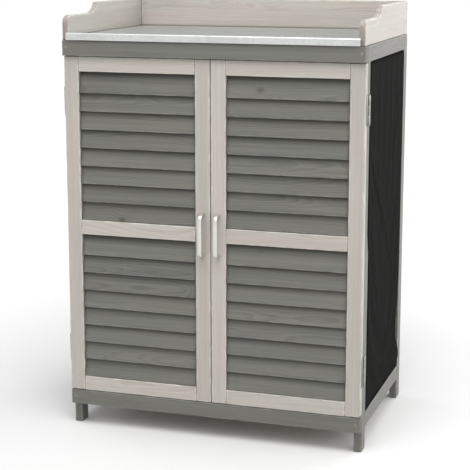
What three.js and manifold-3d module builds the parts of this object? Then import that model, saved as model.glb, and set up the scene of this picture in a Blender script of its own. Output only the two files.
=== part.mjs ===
// Potting bench: a free-standing garden cabinet with a sheet-metal worktop, splash boards
// on three sides, two louvred doors and fabric-covered side and back openings.
//
// Millimetres, +Z up. While the pieces are laid out, X = 0 is the middle of the width,
// Y = 0 is the front face of the closed doors (the back is at +Y) and Z = 0 is the ground.
// The last lines shift the whole bench so that the origin is under the middle of its box.

import * as THREE from 'three';
import { mergeVertices } from 'three/addons/utils/BufferGeometryUtils.js';
import Module from 'manifold-3d';

const wasm = await Module();
wasm.setup();

// ---------------------------------------------------------------- driving dimensions

const WIDTH = 760; // over the posts and rails
const GAP = 0.3; // clearance left between pieces that touch
const EASE = 1.5; // radius on the long edges of a planed board
const POST_EASE = 2;
const PANEL_EASE = 1;

const POST_X = 20;
const POST_Y = 38;
const FRONT_POST_Y = 19; // front face of the front posts
const REAR_Y = 490; // rear face of the rear posts

const RAIL_H = 38;
const RAIL_T = 18;
const FOOT_CLEAR = 55; // ground to the bottom rails
const FRAME_TOP = 987.5; // upper edge of the top rails
const TOP_RAIL_PROUD = 9.5; // the front top rail stands this far ahead of the doors

const SPLASH_T = 15;
const SPLASH_INSET = 2; // outer face of a side board, in from the posts
const SPLASH_LOW = 59; // height of the front step
const SPLASH_HIGH = 85.5; // height of the back board and of the rear of the side boards
const SPLASH_REAR_Y = 493;
const COVE_START_Y = 128; // where the step begins to curve up
const COVE_RADIUS = 64;
const SPLASH_NOSE_RADIUS = 20;

const WORKTOP_BOARD_T = 9;
const SHEET_T = 1;
const LIP_TOP = 1006.5; // crest of the rolled front lip
const LIP_DEPTH = 6; // how far the lip stands ahead of the front top rail
const LIP_END_OVERLAP = 5; // the lip laps the front ends of the side boards
const CREST_R = 4; // outer radius of the lip's rolled crest
const LIP_FILLET_R = 3; // where the flat top turns up into the lip
const HEM = { clear: 1.2, chamfer: 0.6, depth: 2.4, height: 1 };

const DOOR_T = 18;
const DOOR_GAP = 1.5; // above and below the doors
const MEETING_GAP = 2; // between the two doors
const STILE_W = 38;
const DOOR_RAIL_H = 37;

const SLATS_PER_PANEL = 8;
const SLAT_T = 5.5;
const SLAT_W = 53;
const SLAT_TILT = THREE.MathUtils.degToRad(13);
const FIRST_SLAT_SHOWS = 53.4; // from the top of the opening to the foot of the top slat
const SLAT_FRONT_Y = 0.4; // lower front edge of a slat, behind the door's face
const SLAT_END_STRIP = 4; // width of the strips that carry the slat ends
const SLAT_STRIP_INSET = 3; // faces of the strips, in from the faces of the door

const HANDLE_CENTRES = 101.5; // between the feet
const HANDLE_W = 10.6;
const HANDLE_BAR_T = 5;
const HANDLE_REACH = 28; // door face to the front of the bar
const HANDLE_BEND = 11; // bend radius on the bar's centre line
const HANDLE_EDGE_R = 2;

const HINGE_H = 70;
const HINGE_INSET = 110; // end of the door to the middle of a hinge
const LEAF_T = 1.5;
const KNUCKLE_R = 3;
const KNUCKLE_BORE_R = 1.7;
const PIN_R = 1.5;
const PIN_HEAD_R = 2.6;
const PIN_HEAD_H = 1.2;
const FRAME_LEAF_W = 24; // hinge axis to the leaf's free edge
const DOOR_LEAF_W = 16.5;
const LEAF_CLEAR = 0.5; // a leaf's near edge stands off the knuckles of the other leaf

const SHELF_T = 12;
const SHELF_TOP = 520;
const SHELF_BEHIND_POSTS = 1; // front edge of the shelf, behind the posts' front faces
const SHELF_BAR_H = 20;
const FLOOR_T = 14;
const CLEAT = 18;
const FABRIC_T = 3;
const FABRIC_INSET = 2; // face of the fabric, in from the face of the posts

const CATCH = { x: 46, y: 14, z: 13 };
const CATCH_FROM_MIDDLE = 4;
const STRIKE = { x: 28, y: 0.6, z: 14 };
const STRIKE_EASE = 0.2;

// ---------------------------------------------------------------- derived places

const HALF = WIDTH / 2;
const BOTTOM_RAIL = [FOOT_CLEAR, FOOT_CLEAR + RAIL_H];
const TOP_RAIL = [FRAME_TOP - RAIL_H, FRAME_TOP];
const DOOR_Z = [BOTTOM_RAIL[1] + DOOR_GAP, TOP_RAIL[0] - DOOR_GAP];
const DOOR_H = DOOR_Z[1] - DOOR_Z[0];
const PANEL_H = (DOOR_H - 3 * DOOR_RAIL_H) / 2;
const FRONT_POST = [FRONT_POST_Y, FRONT_POST_Y + POST_Y];
const REAR_POST = [REAR_Y - POST_Y, REAR_Y];
const POST_INNER_X = HALF - POST_X;
const SIDE_RAIL_INNER_X = HALF - RAIL_T;
const FRAME_FRONT_Y = -TOP_RAIL_PROUD;
const SPLASH_OUTER_X = HALF - SPLASH_INSET;
const SPLASH_INNER_X = SPLASH_OUTER_X - SPLASH_T;
const SPLASH_FOOT_Z = FRAME_TOP + GAP;
const WORKTOP_HALF = SPLASH_INNER_X - GAP;
const WORKTOP_REAR_Y = SPLASH_REAR_Y - SPLASH_T - GAP;
const SHEET_UNDER_Z = FRAME_TOP + GAP + WORKTOP_BOARD_T + GAP;
const LIP_FRONT_Y = FRAME_FRONT_Y - LIP_DEPTH;
const SHELF_UNDER_Z = SHELF_TOP - SHELF_T - GAP; // top of what carries or hangs under the shelf
const HINGE_AXIS_X = HALF + GAP + KNUCKLE_R;
const HINGE_AXIS_Y = (DOOR_T + FRONT_POST_Y) / 2;

// ---------------------------------------------------------------- materials

function finish(color, roughness, metalness = 0) {
  return new THREE.MeshStandardMaterial({ color, roughness, metalness });
}

const paleWood = finish('#c2b9b1', 0.7);
const greyWood = finish('#7a7b75', 0.75);
const rawWood = finish('#b9a68a', 0.8);
const sheetMetal = finish('#d2d4d5', 0.35, 1);
const satinMetal = finish('#dedbd6', 0.3, 1);
const hingeMetal = finish('#c9cacb', 0.35, 1);
const blackFabric = finish('#232323', 0.95);
const whitePlastic = finish('#e6e6e2', 0.5);

// ---------------------------------------------------------------- shape helpers

const bench = new THREE.Group();

/** A closed rectangle with rounded corners, centred on the origin. */
function roundedRectangle(width, height, radius, cornerSteps = 2) {
  const points = [];
  const corners = [[1, 1], [-1, 1], [-1, -1], [1, -1]];
  corners.forEach(([signX, signY], quarter) => {
    for (let i = 0; i <= cornerSteps; i += 1) {
      const angle = (quarter + i / cornerSteps) * (Math.PI / 2);
      const x = signX * (width / 2 - radius) + radius * Math.cos(angle);
      const y = signY * (height / 2 - radius) + radius * Math.sin(angle);
      points.push(new THREE.Vector2(x, y));
    }
  });
  return new THREE.Shape(points);
}

/** Extrude a shape by length, centred on its own length. */
function extrude(shape, length, curveSegments = 1) {
  const geometry = new THREE.ExtrudeGeometry(shape, {
    depth: length,
    bevelEnabled: false,
    curveSegments,
  });
  geometry.translate(0, 0, -length / 2);
  return geometry;
}

/** A planed board filling three ranges, with eased edges along its longest side. */
function board(name, material, xs, ys, zs, { parent = bench, ease = EASE } = {}) {
  const size = [xs, ys, zs].map(([low, high]) => high - low);
  const longest = size.indexOf(Math.max(...size));
  // The section's width and height, and the turn that lays the extrusion along its axis.
  const lay = [
    { section: [size[2], size[1]], turn: [0, Math.PI / 2, 0] },
    { section: [size[0], size[2]], turn: [-Math.PI / 2, 0, 0] },
    { section: [size[0], size[1]], turn: [0, 0, 0] },
  ][longest];
  const section = roundedRectangle(...lay.section, ease);
  const mesh = new THREE.Mesh(extrude(section, size[longest]), material);
  mesh.name = name;
  mesh.rotation.set(...lay.turn);
  mesh.position.set(...[xs, ys, zs].map(([low, high]) => (low + high) / 2));
  parent.add(mesh);
  return mesh;
}

/** Add a geometry that is already in place. */
function addMesh(name, material, geometry, parent = bench) {
  const mesh = new THREE.Mesh(geometry, material);
  mesh.name = name;
  parent.add(mesh);
  return mesh;
}

/** Turn a closed three.js geometry into a solid that can be cut and joined. */
function solid(geometry) {
  const bare = geometry.clone();
  bare.deleteAttribute('normal');
  bare.deleteAttribute('uv');
  const merged = mergeVertices(bare, 1e-4);
  return new wasm.Manifold(new wasm.Mesh({
    numProp: 3,
    vertProperties: new Float32Array(merged.attributes.position.array),
    triVerts: new Uint32Array(merged.index.array),
  }));
}

/** Turn a solid back into a three.js geometry. */
function geometryOf(body) {
  const { vertProperties, triVerts } = body.getMesh();
  const geometry = new THREE.BufferGeometry();
  geometry.setAttribute('position', new THREE.BufferAttribute(vertProperties, 3));
  geometry.setIndex(new THREE.BufferAttribute(triVerts, 1));
  geometry.computeVertexNormals();
  return geometry;
}

/** A plain box filling three ranges, as a geometry. */
function boxGeometry(xs, ys, zs) {
  const [x, y, z] = [xs, ys, zs].map(([low, high]) => high - low);
  const geometry = new THREE.BoxGeometry(x, y, z);
  geometry.translate((xs[0] + xs[1]) / 2, (ys[0] + ys[1]) / 2, (zs[0] + zs[1]) / 2);
  return geometry;
}

/** Swap and order a range that was given for the right side, for either side. */
function onSide(side, low, high) {
  return side > 0 ? [low, high] : [-high, -low];
}

const SIDES = [
  { side: -1, label: 'left' },
  { side: 1, label: 'right' },
];

// ---------------------------------------------------------------- frame

function makePosts() {
  for (const { side, label } of SIDES) {
    const xs = onSide(side, POST_INNER_X, HALF);
    board(`post_front_${label}`, greyWood, xs, FRONT_POST, [0, FRAME_TOP], { ease: POST_EASE });
    board(`post_rear_${label}`, greyWood, xs, REAR_POST, [0, FRAME_TOP], { ease: POST_EASE });
  }
}

function makeRails() {
  const levels = [
    { level: 'bottom', zs: BOTTOM_RAIL, frontY: 0 },
    { level: 'top', zs: TOP_RAIL, frontY: FRAME_FRONT_Y },
  ];
  for (const { level, zs, frontY } of levels) {
    const frontYs = [frontY, FRONT_POST_Y - GAP];
    board(`${level}_rail_front`, greyWood, [-HALF, HALF], frontYs, zs);
    const rearXs = [-POST_INNER_X + GAP, POST_INNER_X - GAP];
    board(`${level}_rail_rear`, greyWood, rearXs, [REAR_Y - RAIL_T, REAR_Y], zs);
    for (const { side, label } of SIDES) {
      const xs = onSide(side, SIDE_RAIL_INNER_X, HALF);
      const ys = [FRONT_POST[1] + GAP, REAR_POST[0] - GAP];
      board(`${level}_rail_${label}`, greyWood, xs, ys, zs);
    }
  }
  const barYs = [FRONT_POST_Y, REAR_Y - RAIL_T - GAP];
  board('worktop_crossbar', greyWood, [-RAIL_H / 2, RAIL_H / 2], barYs, TOP_RAIL);
}

// ---------------------------------------------------------------- worktop and splash

/** Side view of a splash board: a low front step, a cove and the full height behind. */
function splashOutline() {
  const low = SPLASH_LOW;
  const high = SPLASH_HIGH;
  const nose = SPLASH_NOSE_RADIUS;
  const front = FRAME_FRONT_Y;
  const coveEnd = Math.acos(1 - (high - low) / COVE_RADIUS);
  const shape = new THREE.Shape();
  shape.moveTo(front, 0);
  shape.lineTo(SPLASH_REAR_Y, 0);
  shape.lineTo(SPLASH_REAR_Y, high);
  shape.lineTo(COVE_START_Y + COVE_RADIUS * Math.sin(coveEnd), high);
  const start = -Math.PI / 2 + coveEnd;
  shape.absarc(COVE_START_Y, low + COVE_RADIUS, COVE_RADIUS, start, -Math.PI / 2, true);
  shape.lineTo(front + nose, low);
  shape.absarc(front + nose, low - nose, nose, Math.PI / 2, Math.PI);
  return shape;
}

function makeSplash() {
  for (const { side, label } of SIDES) {
    const geometry = extrude(splashOutline(), SPLASH_T, 8);
    // Stand the side view up: its x runs along Y, its y up Z and its thickness along X.
    geometry.rotateX(Math.PI / 2);
    geometry.rotateZ(Math.PI / 2);
    const mesh = addMesh(`splash_board_${label}`, paleWood, geometry);
    mesh.position.set(side * (SPLASH_OUTER_X - SPLASH_T / 2), 0, SPLASH_FOOT_Z);
  }
  const ys = [SPLASH_REAR_Y - SPLASH_T, SPLASH_REAR_Y];
  const zs = [SPLASH_FOOT_Z, SPLASH_FOOT_Z + SPLASH_HIGH];
  board('splash_board_rear', paleWood, [-WORKTOP_HALF, WORKTOP_HALF], ys, zs);
}

/** The sheet's section in Y and Z: a flat top, a raised crest and a hemmed front face. */
function sheetSection() {
  const under = SHEET_UNDER_Z;
  const top = under + SHEET_T;
  const back = WORKTOP_REAR_Y;
  const front = LIP_FRONT_Y;
  const crestY = front + CREST_R;
  const crestZ = LIP_TOP - CREST_R;
  const crestBack = crestY + CREST_R;
  const innerR = CREST_R - SHEET_T;
  const hem = FRAME_TOP + GAP + HEM.clear;
  const hemFoot = hem - HEM.height;
  const fillet = LIP_FILLET_R;
  const shape = new THREE.Shape();
  shape.moveTo(back, under);
  shape.lineTo(back, top);
  shape.lineTo(crestBack + fillet, top);
  shape.absarc(crestBack + fillet, top + fillet, fillet, -Math.PI / 2, -Math.PI, true);
  shape.lineTo(crestBack, crestZ);
  shape.absarc(crestY, crestZ, CREST_R, 0, Math.PI);
  shape.lineTo(front, hem);
  shape.lineTo(front + HEM.chamfer, hemFoot);
  shape.lineTo(front + HEM.depth, hemFoot);
  shape.lineTo(front + HEM.depth, hem);
  shape.lineTo(front + SHEET_T, hem + HEM.chamfer);
  shape.lineTo(front + SHEET_T, crestZ);
  shape.absarc(crestY, crestZ, innerR, Math.PI, 0, true);
  shape.lineTo(crestY + innerR, under);
  return shape;
}

function makeWorktop() {
  const ys = [FRAME_FRONT_Y, WORKTOP_REAR_Y];
  const zs = [FRAME_TOP + GAP, FRAME_TOP + GAP + WORKTOP_BOARD_T];
  const xs = [-WORKTOP_HALF, WORKTOP_HALF];
  board('worktop_board', rawWood, xs, ys, zs, { ease: PANEL_EASE });

  const lay = (length) => {
    const geometry = extrude(sheetSection(), length, 6);
    geometry.rotateX(Math.PI / 2);
    geometry.rotateZ(Math.PI / 2);
    return geometry;
  };
  // The whole section runs between the side boards; only the lip ahead of them is longer.
  const between = solid(lay(2 * WORKTOP_HALF));
  const lipHalf = WORKTOP_HALF + LIP_END_OVERLAP;
  const ahead = boxGeometry(
    [-HALF, HALF],
    [LIP_FRONT_Y - 1, FRAME_FRONT_Y - GAP],
    [FRAME_TOP, LIP_TOP + 1],
  );
  const lip = solid(lay(2 * lipHalf)).intersect(solid(ahead));
  addMesh('worktop_sheet', sheetMetal, geometryOf(between.add(lip)));
}

// ---------------------------------------------------------------- inside

function makeInside() {
  const innerXs = [-POST_INNER_X + GAP, POST_INNER_X - GAP];
  const shelfYs = [FRONT_POST_Y + SHELF_BEHIND_POSTS, REAR_Y - RAIL_T - GAP];
  const floorTop = BOTTOM_RAIL[1];
  const floorZs = [floorTop - FLOOR_T, floorTop];
  const shelfZs = [SHELF_TOP - SHELF_T, SHELF_TOP];
  board('floor_panel', rawWood, innerXs, shelfYs, floorZs, { ease: PANEL_EASE });
  board('middle_shelf', rawWood, innerXs, shelfYs, shelfZs, { ease: PANEL_EASE });
  for (const { side, label } of SIDES) {
    const cleatXs = onSide(side, SIDE_RAIL_INNER_X - GAP - CLEAT, SIDE_RAIL_INNER_X - GAP);
    const cleatYs = [FRONT_POST[1] + GAP, REAR_POST[0] - GAP];
    const cleatTop = floorTop - FLOOR_T - GAP;
    board(`floor_cleat_${label}`, rawWood, cleatXs, cleatYs, [cleatTop - CLEAT, cleatTop]);
    const barXs = onSide(side, POST_INNER_X - GAP - CLEAT, POST_INNER_X - GAP);
    const barZs = [SHELF_UNDER_Z - SHELF_BAR_H, SHELF_UNDER_Z];
    board(`shelf_bar_${label}`, rawWood, barXs, shelfYs, barZs);

    const catchXs = onSide(side, CATCH_FROM_MIDDLE, CATCH_FROM_MIDDLE + CATCH.x);
    const catchYs = [FRONT_POST_Y, FRONT_POST_Y + CATCH.y];
    const catchZs = [SHELF_UNDER_Z - CATCH.z, SHELF_UNDER_Z];
    board(`magnet_catch_${label}`, whitePlastic, catchXs, catchYs, catchZs, { ease: PANEL_EASE });
  }
}

// ---------------------------------------------------------------- fabric

function makeFabric() {
  const zs = [BOTTOM_RAIL[1] + GAP, TOP_RAIL[0] - GAP];
  for (const { side, label } of SIDES) {
    const outer = HALF - FABRIC_INSET;
    const xs = onSide(side, outer - FABRIC_T, outer);
    const ys = [FRONT_POST[1] + GAP, REAR_POST[0] - GAP];
    board(`side_fabric_${label}`, blackFabric, xs, ys, zs, { ease: PANEL_EASE });
  }
  const backXs = [-POST_INNER_X + GAP, POST_INNER_X - GAP];
  const backYs = [REAR_Y - FABRIC_INSET - FABRIC_T, REAR_Y - FABRIC_INSET];
  board('back_fabric', blackFabric, backXs, backYs, zs, { ease: PANEL_EASE });
}

// ---------------------------------------------------------------- doors

/** One louvre panel: tilted slats carried at both ends by narrow strips. */
function louvrePanel(xs, zs) {
  const pitch = (zs[1] - zs[0] - FIRST_SLAT_SHOWS) / (SLATS_PER_PANEL - 1);
  const stripYs = [SLAT_STRIP_INSET, DOOR_T - SLAT_STRIP_INSET];
  const middleX = (xs[0] + xs[1]) / 2;
  const length = xs[1] - xs[0];
  let panel = solid(boxGeometry([xs[0], xs[0] + SLAT_END_STRIP], stripYs, zs))
    .add(solid(boxGeometry([xs[1] - SLAT_END_STRIP, xs[1]], stripYs, zs)));
  for (let i = 0; i < SLATS_PER_PANEL; i += 1) {
    // The slat leans back as it rises, and its rear lower edge is its lowest line.
    const slat = new THREE.BoxGeometry(length, SLAT_T, SLAT_W);
    slat.translate(0, SLAT_T / 2, SLAT_W / 2);
    slat.rotateX(-SLAT_TILT);
    const lowest = zs[1] - FIRST_SLAT_SHOWS - i * pitch;
    slat.translate(middleX, SLAT_FRONT_Y, lowest + SLAT_T * Math.sin(SLAT_TILT));
    panel = panel.add(solid(slat));
  }
  return geometryOf(panel);
}

/** A bow pull: one bar bent back to the door at both ends, in the plane Y and Z. */
function handleGeometry() {
  const out = HANDLE_REACH - HANDLE_BAR_T / 2;
  const half = HANDLE_CENTRES / 2;
  const bend = HANDLE_BEND;
  const curve = new THREE.CurvePath();
  const point = (y, z) => new THREE.Vector3(0, y, z);
  const corner = (a, b, c) => new THREE.QuadraticBezierCurve3(a, b, c);
  curve.add(new THREE.LineCurve3(point(-GAP, -half), point(-out + bend, -half)));
  curve.add(corner(point(-out + bend, -half), point(-out, -half), point(-out, -half + bend)));
  curve.add(new THREE.LineCurve3(point(-out, -half + bend), point(-out, half - bend)));
  curve.add(corner(point(-out, half - bend), point(-out, half), point(-out + bend, half)));
  curve.add(new THREE.LineCurve3(point(-out + bend, half), point(-GAP, half)));
  const section = roundedRectangle(HANDLE_BAR_T, HANDLE_W, HANDLE_EDGE_R);
  return new THREE.ExtrudeGeometry(section, {
    steps: 32,
    bevelEnabled: false,
    extrudePath: curve,
  });
}

function makeDoor({ side, label }) {
  const door = new THREE.Group();
  const at = (low, high) => onSide(side, low, high);
  const ys = [0, DOOR_T];
  const inner = MEETING_GAP / 2;
  const piece = (name, xs, zs) => {
    board(`${label}_door_${name}`, paleWood, xs, ys, zs, { parent: door });
  };
  piece('hinge_stile', at(HALF - STILE_W, HALF), DOOR_Z);
  piece('meeting_stile', at(inner, inner + STILE_W), DOOR_Z);

  const railXs = at(inner + STILE_W + GAP, HALF - STILE_W - GAP);
  const railFoot = (i) => DOOR_Z[0] + i * (DOOR_RAIL_H + PANEL_H);
  ['bottom', 'middle', 'top'].forEach((name, i) => {
    piece(`${name}_rail`, railXs, [railFoot(i), railFoot(i) + DOOR_RAIL_H]);
  });
  ['lower', 'upper'].forEach((name, i) => {
    const zs = [railFoot(i) + DOOR_RAIL_H + GAP, railFoot(i + 1) - GAP];
    addMesh(`${label}_door_${name}_louvre`, greyWood, louvrePanel(railXs, zs), door);
  });

  const stileMiddle = side * (inner + STILE_W / 2);
  const handle = addMesh(`${label}_door_handle`, satinMetal, handleGeometry(), door);
  handle.position.set(stileMiddle, 0, railFoot(1) + DOOR_RAIL_H / 2);

  const strikeXs = at(inner + (STILE_W - STRIKE.x) / 2, inner + (STILE_W + STRIKE.x) / 2);
  const strikeYs = [DOOR_T + GAP / 3, DOOR_T + GAP / 3 + STRIKE.y];
  const strikeZs = [SHELF_UNDER_Z - STRIKE.z, SHELF_UNDER_Z];
  board(`${label}_door_strike`, hingeMetal, strikeXs, strikeYs, strikeZs, {
    parent: door,
    ease: STRIKE_EASE,
  });
  bench.add(door);
}

// ---------------------------------------------------------------- hinges

/** One knuckle: a tube around the hinge axis, with a tab that joins it to its leaf. */
function knuckle(zs, direction) {
  const height = zs[1] - zs[0];
  const middle = (zs[0] + zs[1]) / 2;
  const ring = new THREE.CylinderGeometry(KNUCKLE_R, KNUCKLE_R, height, 20);
  ring.rotateX(Math.PI / 2);
  ring.translate(0, 0, middle);
  const bore = new THREE.CylinderGeometry(KNUCKLE_BORE_R, KNUCKLE_BORE_R, height + 2, 16);
  bore.rotateX(Math.PI / 2);
  bore.translate(0, 0, middle);
  const reach = KNUCKLE_R + 2 * LEAF_CLEAR;
  const tabYs = direction > 0 ? [0, reach] : [-reach, 0];
  const tab = boxGeometry([-KNUCKLE_R, -KNUCKLE_R + LEAF_T], tabYs, zs);
  return solid(ring).add(solid(tab)).subtract(solid(bore));
}

/** A hinge leaf for the right side of the bench, with the hinge axis at its origin. */
function hingeLeaf(direction, width, knuckleRanges) {
  const start = KNUCKLE_R + LEAF_CLEAR;
  const ys = direction > 0 ? [start, width] : [-width, -start];
  const zs = [-HINGE_H / 2, HINGE_H / 2];
  let leaf = solid(boxGeometry([-KNUCKLE_R, -KNUCKLE_R + LEAF_T], ys, zs));
  for (const range of knuckleRanges) {
    leaf = leaf.add(knuckle(range, direction));
  }
  return leaf;
}

function pinGeometry() {
  const half = HINGE_H / 2;
  const profile = [
    [0, -half - PIN_HEAD_H],
    [PIN_HEAD_R, -half - PIN_HEAD_H],
    [PIN_HEAD_R, -half - GAP],
    [PIN_R, -half - GAP],
    [PIN_R, half + GAP],
    [PIN_HEAD_R, half + GAP],
    [PIN_HEAD_R, half + PIN_HEAD_H],
    [0, half + PIN_HEAD_H],
  ].map(([r, z]) => new THREE.Vector2(r, z));
  const geometry = new THREE.LatheGeometry(profile, 16);
  geometry.rotateX(Math.PI / 2);
  return geometry;
}

function makeHinges({ side, label }) {
  const third = HINGE_H / 3;
  const half = HINGE_H / 2;
  const outerKnuckles = [
    [-half, -half + third - GAP],
    [half - third + GAP, half],
  ];
  const middleKnuckle = [[-half + third + GAP / 2, half - third - GAP / 2]];
  const heights = {
    lower: DOOR_Z[0] + HINGE_INSET,
    upper: DOOR_Z[1] - HINGE_INSET,
  };
  const mirror = (leaf) => geometryOf(side > 0 ? leaf : leaf.mirror([1, 0, 0]));
  for (const [level, z] of Object.entries(heights)) {
    const name = `${label}_${level}_hinge`;
    const pieces = {
      frame_leaf: mirror(hingeLeaf(1, FRAME_LEAF_W, outerKnuckles)),
      door_leaf: mirror(hingeLeaf(-1, DOOR_LEAF_W, middleKnuckle)),
      pin: pinGeometry(),
    };
    for (const [piece, geometry] of Object.entries(pieces)) {
      const mesh = addMesh(`${name}_${piece}`, hingeMetal, geometry);
      mesh.position.set(side * HINGE_AXIS_X, HINGE_AXIS_Y, z);
    }
  }
}

// ---------------------------------------------------------------- assembly

makePosts();
makeRails();
makeSplash();
makeWorktop();
makeInside();
makeFabric();
SIDES.forEach(makeDoor);
SIDES.forEach(makeHinges);

// Put the origin under the middle of the bench's box.
bench.position.y = -(SPLASH_REAR_Y - HANDLE_REACH) / 2;

export default bench;
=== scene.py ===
import math
import random

import bmesh
import bpy
import numpy as np
from mathutils import Matrix, Vector


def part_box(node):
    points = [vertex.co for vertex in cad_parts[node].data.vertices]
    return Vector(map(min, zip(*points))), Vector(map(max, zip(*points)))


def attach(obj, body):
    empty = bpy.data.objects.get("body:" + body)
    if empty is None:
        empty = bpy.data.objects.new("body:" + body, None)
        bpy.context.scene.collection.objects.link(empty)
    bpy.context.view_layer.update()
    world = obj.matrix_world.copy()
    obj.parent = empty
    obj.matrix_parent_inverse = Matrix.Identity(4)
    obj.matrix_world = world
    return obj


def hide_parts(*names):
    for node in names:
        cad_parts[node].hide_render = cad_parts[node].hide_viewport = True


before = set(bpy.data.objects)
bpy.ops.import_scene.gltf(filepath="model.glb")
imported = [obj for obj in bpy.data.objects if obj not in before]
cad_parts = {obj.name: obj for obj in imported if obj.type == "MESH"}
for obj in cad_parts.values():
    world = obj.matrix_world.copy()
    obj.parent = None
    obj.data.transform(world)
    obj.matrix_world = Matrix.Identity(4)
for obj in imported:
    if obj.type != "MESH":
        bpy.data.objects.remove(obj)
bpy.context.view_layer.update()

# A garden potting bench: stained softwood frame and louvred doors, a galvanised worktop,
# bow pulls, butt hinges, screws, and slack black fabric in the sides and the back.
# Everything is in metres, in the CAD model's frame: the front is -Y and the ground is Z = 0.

random.seed(11)

MM = 0.001
SIDES = {"left": -1, "right": 1}

# ------------ driving sizes

EDGE_R = 1.6 * MM  # rounding of a planed board's edges
EDGE_STEPS = 3
WEAR_BAND = 2.5 * MM  # flat beside a rounded edge that still shows some wear
SLAB_WEAR = 0.9 * MM  # the same on a board cut to an outline
SLAB_CORNER_R = 2.7 * MM
POST_EDGE_R = 2.4 * MM
STILE_EDGE_R = 2.2 * MM
STILE_FOOT_R = 5.5 * MM
GRID_PITCH = 45 * MM  # longest spacing of a board's grid lines

SLATS = 8  # in each louvre opening
SLAT_T = 5.5 * MM
SLAT_W = 53 * MM
SLAT_EDGE_R = 1.4 * MM
SLAT_PITCH = 6 * MM  # finer grid lines, for the painted shade on the slats
SLAT_TILT = math.radians(13)
FIRST_SLAT_SHOWS = 53.4 * MM
SHADED_SLAT_END = 12 * MM  # how far painted shade darkens the ends of a slat, in the recess beside the stiles

SPLASH_LOW = 59 * MM
COVE_START = 137.5 * MM  # from the front of a side board to the foot of its cove
COVE_R = 64 * MM
NOSE_R = 20 * MM

SHEET_T = 1 * MM
CLEAR = 0.3 * MM  # gap between pieces that touch
SEAM_H = 4 * MM  # height of the darker line of painted shade where the splash boards meet the sheet
CREST_R = 4 * MM
LIP_FILLET_R = 3 * MM
LIP_FOLD_R = 1.2 * MM

HANDLE_BAR_T = 5 * MM
HANDLE_BEND = 11 * MM
HANDLE_SIDES = 28
SQUARENESS = 4.2  # power of the superellipse that is the section of a pull

LEAF_T = 1.5 * MM
LEAF_CORNER_R = 2 * MM
LEAF_CLEAR = 3.5 * MM  # from the axis of a hinge to the edge of a leaf
KNUCKLE_GAP = 0.3 * MM
KNUCKLE_R = 3 * MM
BORE_R = 1.65 * MM
TAB_LAP = 1.2 * MM  # how far a knuckle's tab reaches over its leaf
LEAF_SCREW_R = 2.7 * MM
LEAF_SCREW_LIFT = 24 * MM  # from the middle of a hinge to its screws
FRAME_SCREW_R = 3.3 * MM
SMALL_SCREW_R = 2.2 * MM
SPLASH_SCREW_R = 2.4 * MM

TONES = (0.3, 0.7)  # darkest and lightest board
STAVES = 6  # boards glued edge to edge in the shelf and the floor

CLOTH_T = 0.5 * MM
HEM_T = 1.1 * MM
HEM_W = 9 * MM
CLOTH_SLACK = 0.002  # how much larger the cloth is cut than its opening
CLOTH_PULL = 0.06  # share of gravity that the taut cloth gives way to
CLOTH_SHADE_W = 6 * MM  # width of the painted shade along the edge of the cloth, where it meets the frame
CLOTH_FRAMES = 24
FOLD = 0.6 * MM  # depth of the soft folds
# How far the rear edge of a side panel is drawn in, by its share of the height
REAR_EDGE = [
    (0, 1.5 * MM), (0.02, 0.5 * MM), (0.038, -2 * MM), (0.055, -1 * MM), (0.075, 3 * MM),
    (0.095, 8 * MM), (0.13, 8 * MM), (0.24, 3 * MM), (0.35, 1.4 * MM), (1, 0.6 * MM),
]


# ------------ node trees


def srgb(code):
    """A hex colour as linear red, green, blue and 1."""
    parts = [int(code[i : i + 2], 16) / 255 for i in (0, 2, 4)]
    return [c / 12.92 if c <= 0.04045 else ((c + 0.055) / 1.055) ** 2.4 for c in parts] + [1]


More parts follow.
